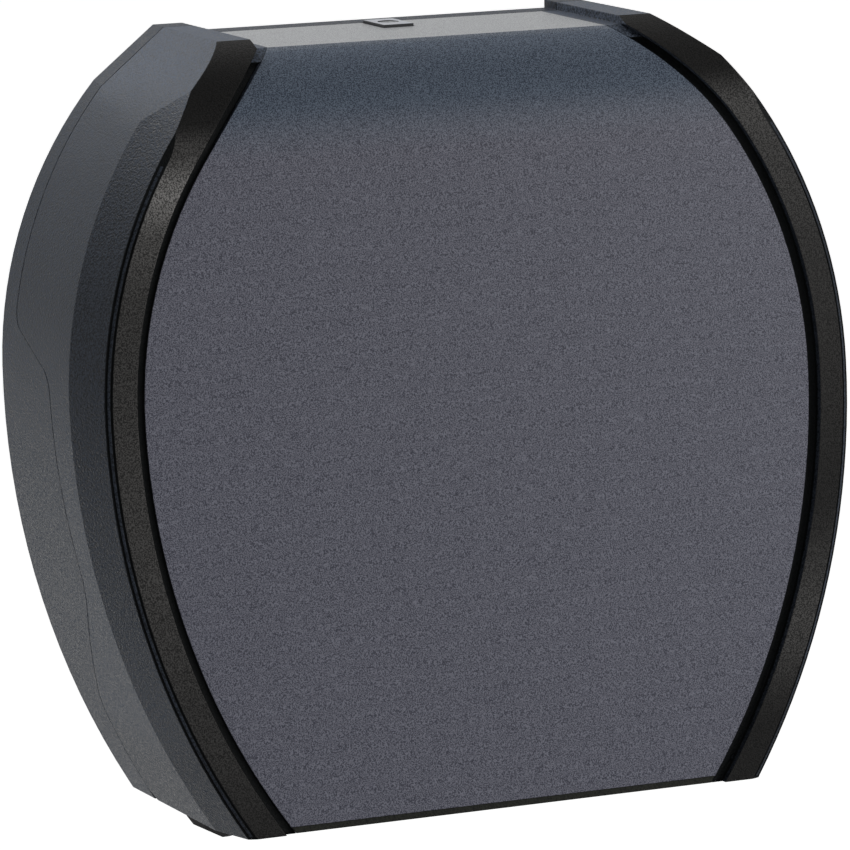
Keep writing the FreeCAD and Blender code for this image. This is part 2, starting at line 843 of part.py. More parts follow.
def smoke_panel():
    """Leaning front, brow and top of the panel in one bent sheet."""
    low = bottom_z + panel_lip + window_gap
    sheet = profile(ledge_drop, centre_drop, low)
    sheet = sheet.cut(profile(ledge_drop + panel_thickness, centre_drop + panel_thickness, low - overrun))
    sheet = sheet.common(cheek_prism(ledge_inset + window_gap, panel_lip + window_gap))
    sheet = sheet.cut(cover_clearance)
    half = tab_width / 2 + notch_gap
    notch = box(-half, half, -(tab_front + notch_gap), overrun, 0, top_z + overrun)
    return sheet.cut(notch).removeSplitter()


def roll_spindle():
    """Flanged post on the boss of the back plate, necked near its tip for the clip."""
    base_y = -(back_plate + boss_height)
    flange_y = base_y - flange_thickness
    neck_y = -(hub_front + axial_gap) + clip_play
    tip_y = neck_y - clip_thickness - 2 * clip_play

    def at(y):
        return Vector(0, y, roll_z)

    base = prism(flange_radius, at(base_y), at(flange_y), ring_sides)
    post = rod(spindle_radius, at(base_y), at(neck_y))
    neck = prism(spindle_radius - clip_groove, at(base_y), at(tip_y), clip_sides)
    tip = prism(spindle_radius, at(tip_y), at(tip_y - spindle_tip), clip_sides,
                end_radius=spindle_radius - spindle_chamfer)
    cuts = []
    for place in spindle_screw_places():
        cuts += [screw_hole(place, into_wall, spindle_screw_length), sunk_cone(place, into_wall, sunk_fit)]
    return base.fuse([post, neck, tip]).cut(cuts).removeSplitter()


def hub_clip():
    """Open ring that sits round the neck of the spindle, with its mouth at the bottom."""
    start = -(hub_front + axial_gap)
    inner = around(spindle_radius - clip_groove, clip_sides) + pin_fit
    near = Vector(0, start, roll_z)
    body = hoop(inner + clip_reach, inner, near, near - Vector(0, clip_thickness, 0), clip_sides)
    mouth = inner * math.sin(math.radians(clip_mouth_angle / 2))
    return body.cut(box(-mouth, mouth, start - overrun, start + overrun, roll_z - case_height, roll_z))


def friction_washer():
    """Washer that drags lightly between the spindle flange and the hub."""
    y = -(back_plate + boss_height + flange_thickness)
    return hoop(washer_radius, around(spindle_radius + hub_fit, clip_sides), Vector(0, y, roll_z),
                Vector(0, y - washer_thickness, roll_z), clip_sides)


def roll_hub():
    """Hub with six fins, a back flange, a nose ring and bumps that keep the core on."""
    centre = Vector(0, 0, roll_z)
    bore = spindle_radius + hub_fit
    sleeve = bore + hub_sleeve
    fin_radius = core_radius - core_wall - hub_fin_gap
    start = -hub_back
    end = -hub_front
    back_end = centre + Vector(0, start, 0)
    parts = [prism(sleeve, back_end, centre + Vector(0, end, 0), clip_sides),
             prism(hub_flange_radius, back_end, back_end - Vector(0, hub_flange, 0), core_sides)]
    bump = roll_front + bump_setback
    for index in range(hub_fins):
        outline = [Vector(0, start, 0), Vector(0, start, fin_radius), Vector(0, -bump, fin_radius),
                   Vector(0, -(bump + hub_bump), fin_radius + hub_bump),
                   Vector(0, end, fin_radius - hub_bump), Vector(0, end, 0), Vector(0, start, 0)]
        fin = Part.Face(Part.makePolygon(outline)).extrude(Vector(hub_fin_thickness, 0, 0))
        fin.translate(Vector(-hub_fin_thickness / 2, 0, 0))
        fin.rotate(Vector(0, 0, 0), into_wall, 360 * index / hub_fins)
        fin.translate(centre)
        parts.append(fin)
    parts.append(hoop(fin_radius - hub_bump, fin_radius - hub_bump - hub_ring,
                      centre + Vector(0, end + hub_nose / 2, 0), centre + Vector(0, end, 0), clip_sides))
    body = parts[0].fuse(parts[1:])
    return body.cut(rod(bore, centre, centre + Vector(0, 2 * end, 0))).removeSplitter()


def roll_core():
    centre = Vector(0, 0, roll_z)
    return hoop(core_radius, core_radius - core_wall, centre - Vector(0, roll_back, 0),
                centre - Vector(0, roll_front, 0), core_sides)


def paper_roll():
    """Wound paper: its outer wrap ends in a small step."""
    start = Vector(0, -roll_back, roll_z)
    half = (roll_radius + roll_radius - sheet_step) / 2
    shift = sheet_step / 2
    low = Part.Arc(Vector(roll_radius, 0, 0), Vector(roll_radius - half - shift / 2, 0, -half),
                   Vector(roll_radius - 2 * half, 0, 0)).toShape()
    second = roll_radius - sheet_step
    high = Part.Arc(Vector(roll_radius - 2 * half, 0, 0),
                    Vector((roll_radius - 2 * half + second) / 2, 0, second - shift / 2),
                    Vector(second, 0, 0)).toShape()
    step = Part.makeLine(Vector(second, 0, 0), Vector(roll_radius, 0, 0))
    face = Part.Face(Part.Wire(Part.__sortEdges__([low, high, step])))
    body = face.extrude(Vector(0, -roll_width, 0))
    body.translate(start)
    return body.cut(rod(core_radius, start, start - Vector(0, roll_width, 0)))


def tear_bar():
    """Right tear bar: a bar with a blade below the case, whose foot is toothed on the side of the mouth."""
    top_edge = bottom_z + bar_height
    low = bottom_z - blade_drop
    blade_end = blade_start + blade_length
    corners = [(bar_start, top_edge), (bar_start, bottom_z), (blade_start, bottom_z),
               (blade_start, low + blade_bevel_rise), (blade_start + blade_bevel, low),
               (blade_end - blade_bevel, low), (blade_end, low + blade_bevel_rise),
               (blade_end + blade_bevel, bottom_z), (bar_end, bottom_z), (bar_end, top_edge)]
    start = arm_inner - bar_thickness
    points = [Vector(start, -y, z) for y, z in corners + corners[:1]]
    body = Part.Face(Part.makePolygon(points)).extrude(Vector(bar_thickness, 0, 0))
    first = blade_start + blade_bevel
    pitch = (blade_length - 2 * blade_bevel) / tooth_count
    row = [Vector(arm_inner, -first, low), Vector(start, -first, low)]
    for index in range(tooth_count):
        row.append(Vector(start - tooth_reach, -(first + (index + 1 / 2) * pitch), low))
        row.append(Vector(start, -(first + (index + 1) * pitch), low))
    row += [Vector(arm_inner, -(blade_end - blade_bevel), low), row[0]]
    body = body.fuse(Part.Face(Part.makePolygon(row)).extrude(Vector(0, 0, tooth_height))).removeSplitter()
    for place in bar_screw_places():
        body = body.cut(screw_hole(place, outward, bar_screw_length))
    return body


def hinge_pin():
    head_x = arm_inner - hinge_head
    head = prism(hinge_head_radius, Vector(head_x, hinge_y, hinge_z), Vector(arm_inner, hinge_y, hinge_z),
                 screw_sides)
    shank = rod(hinge_pin_radius, Vector(arm_inner, hinge_y, hinge_z), Vector(pin_end(), hinge_y, hinge_z))
    return head.fuse(shank).removeSplitter()


def lock_housing():
    """Raised tab, barrel below it and a foot that is screwed to the back plate."""
    half = tab_width / 2
    top = top_height(0, centre_drop - tab_proud)
    tab_back = parting_reach(top - tab_thickness - bottom_z) + parting_gap
    slab = box(-half, half, -tab_front, -tab_back, 0, top_z + overrun)
    tab = slab.common(profile(0, centre_drop - tab_proud, 0).cut(
        profile(0, centre_drop - tab_proud + tab_thickness, -overrun)))
    centre = Vector(0, -lock_setback, 0)
    floor = lock_floor()
    barrel = prism(barrel_radius, centre + Vector(0, 0, floor),
                   centre + Vector(0, 0, top - tab_thickness / 2), clip_sides)
    web = box(-foot_web / 2, foot_web / 2, -lock_setback, -back_plate, floor, foot_top())
    foot = box(-foot_width / 2, foot_width / 2, -(back_plate + foot_plate), -back_plate,
               foot_top() - foot_height, foot_top())
    holes = [rod(plug_radius + plug_fit, centre, centre + Vector(0, 0, top + overrun))]
    for place in foot_screw_places():
        holes.append(screw_hole(place, into_wall, foot_plate + back_plate))
    return tab.fuse([barrel, web, foot]).cut(holes).removeSplitter()


def lock_plug():
    """Plug with a Z-shaped keyway and a square-shouldered end for the cam."""
    centre = Vector(0, -lock_setback, 0)
    top = top_height(-lock_setback, centre_drop - tab_proud) - plug_recess
    low = lock_floor() - cam_gap
    body = rod(plug_radius, centre + Vector(0, 0, low), centre + Vector(0, 0, top))
    half = keyway_length / 2
    width = keyway_width / 2
    step = keyway_step / 2
    y = -lock_setback
    deep = top - keyway_depth
    high = top + overrun
    slot_one = box(-half, width, y + step - width, y + step + width, deep, high)
    slot_two = box(-width, half, y - step - width, y - step + width, deep, high)
    link = box(-width, width, y - step - width, y + step + width, deep, high)
    screw_bore = screw_hole(cam_screw_place(), upright, rail_screw_length)
    return body.cut([slot_one, slot_two, link, screw_bore]).removeSplitter()


def cam_place():
    return lock_floor() - cam_gap


def lock_cam():
    """Flat arm on the end of the plug; at rest it points to the front."""
    high = cam_place()
    low = high - cam_thickness
    centre = Vector(0, -lock_setback, 0)
    disc = prism(plug_radius, centre + Vector(0, 0, low), centre + Vector(0, 0, high), clip_sides)
    end_y = -(lock_setback + cam_reach - cam_width / 2)
    arm_box = box(-cam_width / 2, cam_width / 2, end_y, -lock_setback, low, high)
    corner = around(cam_width / 2, screw_sides)
    tip = prism(corner, Vector(0, end_y, low), Vector(0, end_y, high), screw_sides)
    body = disc.fuse([arm_box, tip])
    hole = screw_hole(centre + Vector(0, 0, low), upright, cam_thickness + screw_radius)
    return body.cut(hole).removeSplitter()


def cam_screw_place():
    return Vector(0, -lock_setback, cam_place() - cam_thickness)


def keeper_screw_places():
    base = keeper_base() + keeper_thickness / 2 + keeper_flange / 2
    x = keeper_offset + keeper_width / 2
    y = -top_rail_front + rail_thickness + window_gap + keeper_thickness
    spread = keeper_screw_spacing / 2
    return [Vector(x - spread, y, base), Vector(x + spread, y, base)]


def keeper_base():
    return cam_place() - cam_thickness - keeper_drop - keeper_thickness


def lock_keeper():
    """Steel strip on the top rail whose turned-up end stands in front of the locked cam."""
    x0 = keeper_offset
    x1 = keeper_offset + keeper_width
    low = keeper_base()
    front = -top_rail_front + rail_thickness + window_gap
    strip = box(x0, x1, front, -keeper_back, low, low + keeper_thickness)
    flange = box(x0, x1, front, front + keeper_thickness, low, low + keeper_flange)
    lip = box(x0, x1, -keeper_back - keeper_thickness, -keeper_back, low, low + keeper_lip)
    body = strip.fuse([flange, lip]).removeSplitter()
    for place in keeper_screw_places():
        body = body.cut(screw_hole(place, to_front, keeper_thickness + screw_radius))
    return body


def screw_set(places, direction, length):
    return Part.makeCompound([screw(place, direction, length) for place in places])


def build():
    right = cheek()
    bars = [screw(place, outward, bar_screw_length - screw_fit) for place in bar_screw_places()]
    rails = [screw(place, way, rail_screw_length - screw_fit) for place, way in rail_screw_places()]
    sunk = [sunk_screw(place, into_wall, spindle_screw_length - screw_fit)
            for place in spindle_screw_places()]
    return {
        "rear_housing": rear_housing(),
        "roll_spindle": roll_spindle(),
        "spindle_screws": Part.makeCompound(sunk),
        "friction_washer": friction_washer(),
        "hub_clip": hub_clip(),
        "roll_hub": roll_hub(),
        "roll_core": roll_core(),
        "paper_roll": paper_roll(),
        "tear_bar_right": tear_bar(),
        "tear_bar_left": mirror_x(tear_bar()),
        "tear_bar_screws": Part.makeCompound(bars + [mirror_x(each) for each in bars]),
        "hinge_pins": both_sides(hinge_pin()),
        "lock_housing": lock_housing(),
        "lock_housing_screws": screw_set(foot_screw_places(), into_wall,
                                         foot_plate + back_plate - rim_setback),
        "lock_plug": lock_plug(),
        "lock_cam": lock_cam(),
        "cam_screw": screw(cam_screw_place(), upright, rail_screw_length - screw_fit),
        "right_cheek": right,
        "left_cheek": mirror_x(right),
        "smoke_panel": smoke_panel(),
        "bottom_rail": bottom_rail(),
        "top_rail": top_rail(),
        "rail_screws": Part.makeCompound(rails + [mirror_x(each) for each in rails]),
        "lock_keeper": lock_keeper(),
        "keeper_screws": screw_set(keeper_screw_places(), to_front, keeper_thickness + rail_thickness),
    }


os.makedirs("parts", exist_ok=True)
for node, shape in build().items():
    shape.exportStep("parts/" + node + ".step")
    print(node, len(shape.Solids), round(shape.Volume, 1), shape.isValid())
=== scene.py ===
import bpy, bmesh, json, math
import numpy as np
from mathutils import Matrix, Vector


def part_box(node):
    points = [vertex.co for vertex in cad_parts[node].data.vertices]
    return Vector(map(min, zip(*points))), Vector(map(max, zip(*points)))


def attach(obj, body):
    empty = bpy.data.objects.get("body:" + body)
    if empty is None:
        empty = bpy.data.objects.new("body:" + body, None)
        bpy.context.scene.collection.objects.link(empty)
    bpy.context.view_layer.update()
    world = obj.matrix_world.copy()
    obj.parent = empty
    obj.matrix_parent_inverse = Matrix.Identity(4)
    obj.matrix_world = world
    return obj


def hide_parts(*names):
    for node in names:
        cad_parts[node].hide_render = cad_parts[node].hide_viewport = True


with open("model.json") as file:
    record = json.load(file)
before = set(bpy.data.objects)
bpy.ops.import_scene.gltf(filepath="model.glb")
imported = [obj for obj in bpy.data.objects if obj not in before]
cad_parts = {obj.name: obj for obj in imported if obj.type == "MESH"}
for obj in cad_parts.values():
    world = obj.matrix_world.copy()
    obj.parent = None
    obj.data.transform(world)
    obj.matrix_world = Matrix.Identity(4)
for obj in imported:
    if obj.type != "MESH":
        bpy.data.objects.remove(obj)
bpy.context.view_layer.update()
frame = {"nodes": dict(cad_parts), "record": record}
nodes = frame["nodes"]
rollAxis = frame["record"]["behaviour"]["joints"][1]["pos_m"][2]   # height of the spindle
print("frame loaded:", len(nodes), "nodes")


# helpers for the materials
screenCurve = {"full": 255, "foot": 0.04045, "slope": 12.92, "lift": 0.055, "power": 2.4}
noiseSpan = (0.3, 0.7)         # where most values of a noise lie
edgeSamples = 6                # rays for each rounded edge


def connect(tree, node, inputs):
    # gives each input of a node its value or its link
    for socket, value in inputs.items():
        if isinstance(value, bpy.types.NodeSocket):
            tree.links.new(value, node.inputs[socket])
        else:
            node.inputs[socket].default_value = value
    return node


def addNode(tree, kind, inputs, **settings):
    node = tree.nodes.new("ShaderNode" + kind)
    for name, value in settings.items():
        setattr(node, name, value)
    return connect(tree, node, inputs)


def screenColor(color):
    # a colour from 0 to 255 as it shows on screen, in the linear values that a socket takes
    lift = screenCurve["lift"]
    linear = []
    for value in color:
        share = value / screenCurve["full"]
        if share <= screenCurve["foot"]:
            linear.append(share / screenCurve["slope"])
        else:
            linear.append(((share + lift) / (1 + lift)) ** screenCurve["power"])
    return linear + [1]


def startMaterial(name):
    material = bpy.data.materials.new(name)
    material.use_nodes = True
    tree = material.node_tree
    return material, tree, tree.nodes["Principled BSDF"]


def place3d(tree):
    return addNode(tree, "TexCoord", {}).outputs["Object"]


def along(tree, vector, axis):
    return addNode(tree, "SeparateXYZ", {0: vector}).outputs[axis]


def facingUp(tree):
    # 1 where a face looks straight up, 0 where it stands upright
    return along(tree, addNode(tree, "TexCoord", {}).outputs["Normal"], "Z")


def noise(tree, vector, kind):
    scale, detail, roughness = kind
    inputs = {"Vector": vector, "Scale": scale, "Detail": detail, "Roughness": roughness}
    return addNode(tree, "TexNoise", inputs).outputs["Fac"]


def cells(tree, vector, scale, smoothness):
    inputs = {"Vector": vector, "Scale": scale, "Smoothness": smoothness}
    return addNode(tree, "TexVoronoi", inputs, feature="SMOOTH_F1").outputs["Distance"]


def spread(tree, source, fromSpan, toSpan):
    # carries a value from one span over to another
    inputs = {"Value": source, "From Min": fromSpan[0], "From Max": fromSpan[1],
              "To Min": toSpan[0], "To Max": toSpan[1]}
    return addNode(tree, "MapRange", inputs).outputs["Result"]


def maths(tree, kind, first, second=0):
    return addNode(tree, "Math", {0: first, 1: second}, operation=kind).outputs[0]


def blendColors(tree, factor, first, second):
    # inputs 6 and 7 and output 2 are the ones for colours
    inputs = {"Factor": factor, 6: first, 7: second}
    return addNode(tree, "Mix", inputs, data_type="RGBA").outputs[2]


def addBump(tree, shader, height, strength, depth, edge=0):
    # bump from a height, over edges that are rounded by the given radius
    inputs = {"Height": height, "Strength": strength, "Distance": depth}
    if edge:
        inputs["Normal"] = addNode(tree, "Bevel", {"Radius": edge}, samples=edgeSamples).outputs["Normal"]
    connect(tree, shader, {"Normal": addNode(tree, "Bump", inputs).outputs["Normal"]})


def dress(names, material):
    for name in names:
        mesh = nodes[name].data
        mesh.materials.clear()
        mesh.materials.append(material)


# camera at the photograph's angle: its place in metres, its lens and sensor in millimetres
camera = {
    "place": (-1.239, -2.591, 0.424),
    "right": (0.89728, -0.44101, -0.01984),
    "up": (0.08441, 0.12727, 0.98826),
    "lens": 282.2,
    "sensor": 36,
}


def makeCamera():
    data = bpy.data.cameras.new("camera")
    data.sensor_width = camera["sensor"]
    data.lens = camera["lens"]
    eye = bpy.data.objects.new("camera", data)
    bpy.context.scene.collection.objects.link(eye)
    right = Vector(camera["right"]).normalized()
    back = right.cross(Vector(camera["up"])).normalized()
    up = back.cross(right)
    turn = Matrix((right, up, back)).transposed().to_4x4()
    eye.matrix_world = Matrix.Translation(camera["place"]) @ turn
    bpy.context.scene.camera = eye


makeCamera()
bpy.context.scene.view_settings.view_transform = "Standard"
print("camera placed")


# studio: white surroundings, a pale floor far below and soft lamps
studio = {
    "ambient": 0.12,           # light from all round, 1 is white
    "white": (1, 1, 1, 1),
    "floorColor": (0.8, 0.8, 0.8, 1),
    "floorGlow": 0.92,         # what the floor adds to its own light where it is seen directly
    "floorSize": 40.0,
    "floorHeight": -0.95,
    "aim": (0.0, -0.05, 0.0),
    "lamps": [
        # name, place, width, height, power in watts
        ("rearHighSoft", (-0.74, 1.28, 1.64), 0.9, 0.9, 42),
        ("rearLowSoft", (-1.02, 1.77, -0.82), 0.9, 0.9, 8),
        ("rightSoft", (1.52, -1.52, 0.46), 0.9, 0.9, 19),
        ("frontSoft", (0.2, -2.5, 0.6), 1.4, 1.2, 5),
    ],
}


def seenDirectly(tree):
    # 1 for rays from the camera, and for those that mirror or pass through a surface
    path = addNode(tree, "LightPath", {})
    seen = maths(tree, "MAXIMUM", path.outputs["Is Camera Ray"], path.outputs["Is Glossy Ray"])
    return maths(tree, "MAXIMUM", seen, path.outputs["Is Transmission Ray"])


def makeWorld():
    world = bpy.data.worlds.new("studioAir")
    bpy.context.scene.world = world
    world.use_nodes = True
    tree = world.node_tree
    tree.nodes.clear()
    light = addNode(tree, "Background", {"Color": studio["white"], "Strength": studio["ambient"]})
    backdrop = addNode(tree, "Background", {"Color": studio["white"], "Strength": 1})
    blend = addNode(tree, "MixShader", {"Fac": seenDirectly(tree), 1: light.outputs[0],
                                        2: backdrop.outputs[0]})
    addNode(tree, "OutputWorld", {"Surface": blend.outputs[0]})


def makeFloor():
    half, level = studio["floorSize"] / 2, studio["floorHeight"]
    mesh = bpy.data.meshes.new("floor")
    corners = [(-half, -half, level), (half, -half, level), (half, half, level), (-half, half, level)]
    mesh.from_pydata(corners, [], [(0, 1, 2, 3)])
    floor = bpy.data.objects.new("floor", mesh)
    bpy.context.scene.collection.objects.link(floor)
    material, tree = startMaterial("paleFloor")[:2]
    tree.nodes.clear()
    matte = addNode(tree, "BsdfDiffuse", {"Color": studio["floorColor"]})
    strength = maths(tree, "MULTIPLY", seenDirectly(tree), studio["floorGlow"])
    glow = addNode(tree, "Emission", {"Color": studio["white"], "Strength": strength})
    both = addNode(tree, "AddShader", {0: matte.outputs[0], 1: glow.outputs[0]})
    addNode(tree, "OutputMaterial", {"Surface": both.outputs[0]})
    mesh.materials.append(material)


def makeLamps():
    for name, place, width, height, power in studio["lamps"]:
        data = bpy.data.lights.new(name, "AREA")
        data.shape = "RECTANGLE"
        data.size, data.size_y = width, height
        data.energy = power
        lamp = bpy.data.objects.new(name, data)
        bpy.context.scene.collection.objects.link(lamp)
        turn = (Vector(studio["aim"]) - Vector(place)).to_track_quat("-Z", "Y")
        lamp.matrix_world = Matrix.Translation(place) @ turn.to_matrix().to_4x4()


makeWorld()
makeFloor()
makeLamps()
print("studio lit")


# moulded black plastic of the case, with a fine grain and pits; a noise is scale, detail, roughness
blackPlastic = {
    "dark": (5, 7, 10),
    "light": (60, 66, 76),
    "grain": (1100, 2.5, 0.6),
    "grainSpan": (0.42, 0.58),     # values of the grain that go from dark to light
    "grainShare": 0.75,
    "clouds": (9, 3, 0.5),         # slow change of tone over the surface
    "cloudShare": 0.3,
    "pits": 1100,
    "pitSmoothness": 0.6,
    "pitShare": 0.7,
    "roughness": (0.3, 0.78),
    "specular": 0.08,
    "bump": 0.8,
    "bumpDepth": 0.0003,
    "edge": 0.0007,
}


def paintLightByHeight(tree, spot, color, stops):
    # paints light and shade into a colour: scales it by the height on the object
    low, high = stops[0][0], stops[-1][0]
    largest = max(tone for height, tone in stops)
    ramp = addNode(tree, "ValToRGB", {"Fac": spread(tree, along(tree, spot, "Z"), (low, high), (0, 1))})
    ramp.color_ramp.interpolation = "EASE"
    marks = ramp.color_ramp.elements
    for height, tone in stops[1:-1]:
        marks.new((height - low) / (high - low))
    for mark, (height, tone) in zip(marks, stops):
        mark.color = (tone / largest,) * 3 + (1,)
    scaled = addNode(tree, "VectorMath", {0: color, 1: ramp.outputs["Color"]}, operation="MULTIPLY")
    lifted = addNode(tree, "VectorMath", {0: scaled.outputs[0], "Scale": largest}, operation="SCALE")
    return lifted.outputs[0]


def makeBlackPlastic(name, values, paintedLight=None):
    material, tree, shader = startMaterial(name)
    spot = place3d(tree)
    grain = noise(tree, spot, values["grain"])
    clouds = maths(tree, "MULTIPLY", noise(tree, spot, values["clouds"]), values["cloudShare"])
    mixed = maths(tree, "ADD", spread(tree, grain, values["grainSpan"], (0, values["grainShare"])), clouds)
    color = blendColors(tree, mixed, screenColor(values["dark"]), screenColor(values["light"]))
    # painted light and shade by height, where given
    if paintedLight:
        color = paintLightByHeight(tree, spot, color, paintedLight)
    connect(tree, shader, {"Base Color": color, "Specular IOR Level": values["specular"],
                           "Roughness": spread(tree, grain, noiseSpan, values["roughness"])})
    pits = cells(tree, spot, values["pits"], values["pitSmoothness"])
    height = maths(tree, "ADD", grain, maths(tree, "MULTIPLY", pits, values["pitShare"]))
    addBump(tree, shader, height, values["bump"], values["bumpDepth"], values["edge"])
    return material


railPlastic = dict(blackPlastic, dark=(16, 17, 15), light=(44, 45, 40), edge=0.0004)
dress(["rear_housing"], makeBlackPlastic("casePlastic", blackPlastic))
dress(["bottom_rail", "top_rail"], makeBlackPlastic("railPlastic", railPlastic))


# helpers for the pieces that are made over CAD nodes
joinDistance = 0.000001
flatAngle = 0.5                # faces that turn less than this become one, in degrees
openAngle = 4                  # what an edge with one face counts as, in radians: always sharp


def copyNode(name):
    # mesh of a CAD node with whole faces instead of triangles
    work = bmesh.new()
    work.from_mesh(nodes[name].data)
    work.transform(nodes[name].matrix_world)
    bmesh.ops.remove_doubles(work, verts=work.verts, dist=joinDistance)
    bmesh.ops.dissolve_limit(work, angle_limit=math.radians(flatAngle), verts=work.verts, edges=work.edges)
    return work


def smoothEdges(work, limitOf):
    # smooth shading over each edge that turns less than its limit in degrees
    for face in work.faces:
        face.smooth = True
    for edge in work.edges:
        edge.smooth = edge.calc_face_angle(openAngle) < math.radians(limitOf(edge))


def addPiece(name, work, materials, body, node):
    mesh = bpy.data.meshes.new(name)
    work.to_mesh(mesh)
    work.free()
    for material in materials:
        mesh.materials.append(material)
    piece = bpy.data.objects.new(name, mesh)
    bpy.context.scene.collection.objects.link(piece)
    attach(piece, body)
    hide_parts(node)


# cheeks: the moulded sides of the cover, with a bead along the outer edge of each rib and a
# channel between the rib and the panel, their grooves darkened with painted shade; lengths in metres,
# angles in degrees
cheek = {
    "lean": 0.0792,                # backward lean of the front, as a slope
    "foot": (-0.125, -0.1635),     # y and z of the front's lower edge
    "frontTurn": 3,                # faces of the front turn less than this from the lean
    "frontReach": 0.0006,          # faces of the ribs lie this near to the front plane
    "ribTurn": 80,                 # the ribs end where they lean back by this
    "bevelTurn": (18, 34),         # turn of the faces that carry the bead
    "bevelDepth": (0.0002, 0.0014),
    "beadGroove": 0.0008,          # width of the groove on each side of the bead
    "grooveDepth": 0.0007,
    "beadWall": 0.0003,
    "beadTop": 0.118,              # height at which the bead ends
    "beadFade": 0.03,              # it grows shallow over this length
    "ledgeDepth": 0.0026,          # where the ledge lies behind the rib
    "ledgeReach": 0.0004,
    "channelWall": 0.0002,
    "channelDepth": 0.0016,
    "channelTurn": 48,             # the channel ends where the front leans back by this
    "carryTurn": 9,                # a front carries on over edges that turn less than this
    "sideways": 0.06,              # and its faces look less to the side than this share
    "softAngle": 9,                # edges that turn less than this are smooth
    "softAcross": 32,              # the same for edges from the front to the wall
    "acrossShare": 0.8,            # such an edge runs this much toward the wall
}
# pairs of height and tone: painted light on the ribs, a pale painted highlight at the bend and dark
# painted shade on top
cheeks = {
    "leftCheek": {
        "node": "left_cheek",
        "ribPaintedLight": [(-0.163, 0.5), (-0.12, 0.9), (-0.05, 1.5), (0.06, 1.15), (0.085, 2.0), (0.106, 4.8),
                     (0.123, 1.5), (0.134, 0.25), (0.15, 0.2), (0.164, 0.5)],
    },
    "rightCheek": {
        "node": "right_cheek",
        "ribPaintedLight": [(-0.163, 0.3), (-0.141, 0.3), (-0.097, 1.5), (-0.044, 0.4), (0.0, 0.6), (0.053, 0.75),
                     (0.101, 1.3), (0.127, 1.9), (0.142, 0.3), (0.164, 0.3)],
    },
}
# painted light and shade on the cheek walls by height, with a pale painted highlight toward the top
cheekPaintedLight = [(-0.163, 0.7), (-0.14, 0.75), (-0.11, 1.25), (-0.03, 1.2), (0.02, 1.0), (0.06, 0.8),
              (0.1, 0.95), (0.13, 1.2), (0.15, 2.2), (0.166, 2.2)]
ribPlastic = dict(blackPlastic, dark=(6, 6, 6), light=(73, 72, 71), grain=(1700, 2.5, 0.6), specular=0.06,
                  roughness=(0.4, 0.6), bump=0.5)
# the grooves, the channel and the bevel above the bead take a near-black copy of the case plastic: painted
# shade in the recesses, on top of their real depth
grooveShadePlastic = dict(blackPlastic, dark=(6, 7, 8), light=(18, 20, 21), specular=0.05)
wall, rib, groove = 0, 1, 2    # places of the materials on a cheek
forward = Vector((0, -1, cheek["lean"])).normalized()


def turnOf(face):
    return math.degrees(face.normal.angle(forward))


def behind(face):
    # distance of a face behind the front plane of the ribs
    spot = face.calc_center_median()
    footY, footZ = cheek["foot"]
    return (spot.y - footY - cheek["lean"] * (spot.z - footZ)) * -forward.y


def carryOn(faces, limit):
    # adds the neighbours that carry a front on without a corner
    found = list(faces)
    corner = math.radians(cheek["carryTurn"])
    for face in found:
        for edge in face.edges:
            for near in edge.link_faces:
                if near in found or abs(near.normal.x) > cheek["sideways"]:
                    continue
                if edge.calc_face_angle(openAngle) <= corner and turnOf(near) < limit:
                    found.append(near)
    return found


def findFronts(work):
    ribs, bevels, ledges = [], [], []
    for face in work.faces:
        turn, depth = turnOf(face), behind(face)
        if turn < cheek["frontTurn"] and abs(depth) < cheek["frontReach"]:
            ribs.append(face)
        elif turn < cheek["frontTurn"] and abs(depth - cheek["ledgeDepth"]) < cheek["ledgeReach"]:
            ledges.append(face)
        elif (cheek["bevelTurn"][0] < turn < cheek["bevelTurn"][1]
              and cheek["bevelDepth"][0] < depth < cheek["bevelDepth"][1]):
            bevels.append(face)
    return carryOn(ribs, cheek["ribTurn"]), bevels, carryOn(ledges, cheek["channelTurn"])


def cutStrip(work, faces, width, depth):
    walls = bmesh.ops.inset_region(work, faces=faces, thickness=width, depth=depth, use_even_offset=True)
    # the walls of each cut take the painted shade
    for face in walls["faces"]:
        face.material_index = groove


def fadeBead(faces, depth):
    # brings the cut faces back to the surface toward the upper end of the bead
    normals = {vert: face.normal.copy() for face in faces for vert in face.verts}
    for vert, normal in normals.items():
        share = (vert.co.z - cheek["beadTop"]) / cheek["beadFade"] + 1
        vert.co -= normal * depth * min(max(share, 0), 1)


def edgeLimit(edge):
    way = edge.verts[1].co - edge.verts[0].co
    across = abs(way.y) > cheek["acrossShare"] * way.length
    return cheek["softAcross"] if across else cheek["softAngle"]


def makeCheek(name, values, wallMaterial, grooveShadeMaterial):
    work = copyNode(values["node"])
    ribs, bevels, ledges = findFronts(work)
    beads = [face for face in bevels if face.calc_center_median().z < cheek["beadTop"]]
    # the bevel above the bead takes the painted shade
    for face in bevels:
        face.material_index = wall if face in beads else groove
    for face in ribs:
        face.material_index = rib
    for width, depth in ((cheek["beadGroove"], -cheek["grooveDepth"]),
                         (cheek["beadWall"], cheek["grooveDepth"])):
        cutStrip(work, beads, width, depth)
        fadeBead(beads, depth)
    cutStrip(work, ledges, cheek["channelWall"], -cheek["channelDepth"])
    # the channel floor takes the painted shade too
    for face in ledges:
        face.material_index = groove
    smoothEdges(work, edgeLimit)
    print(name, len(ribs), "rib,", len(beads), "bead and", len(ledges), "channel faces")
    ribMaterial = makeBlackPlastic(name + "Rib", ribPlastic, values["ribPaintedLight"])
    materials = [wallMaterial, ribMaterial, grooveShadeMaterial]
    addPiece(name, work, materials, "cover", values["node"])


cheekMaterial = makeBlackPlastic("cheekPlastic", blackPlastic, cheekPaintedLight)
channelShadeMaterial = makeBlackPlastic("grooveShadePlastic", grooveShadePlastic)
for name, values in cheeks.items():
    makeCheek(name, values, cheekMaterial, channelShadeMaterial)
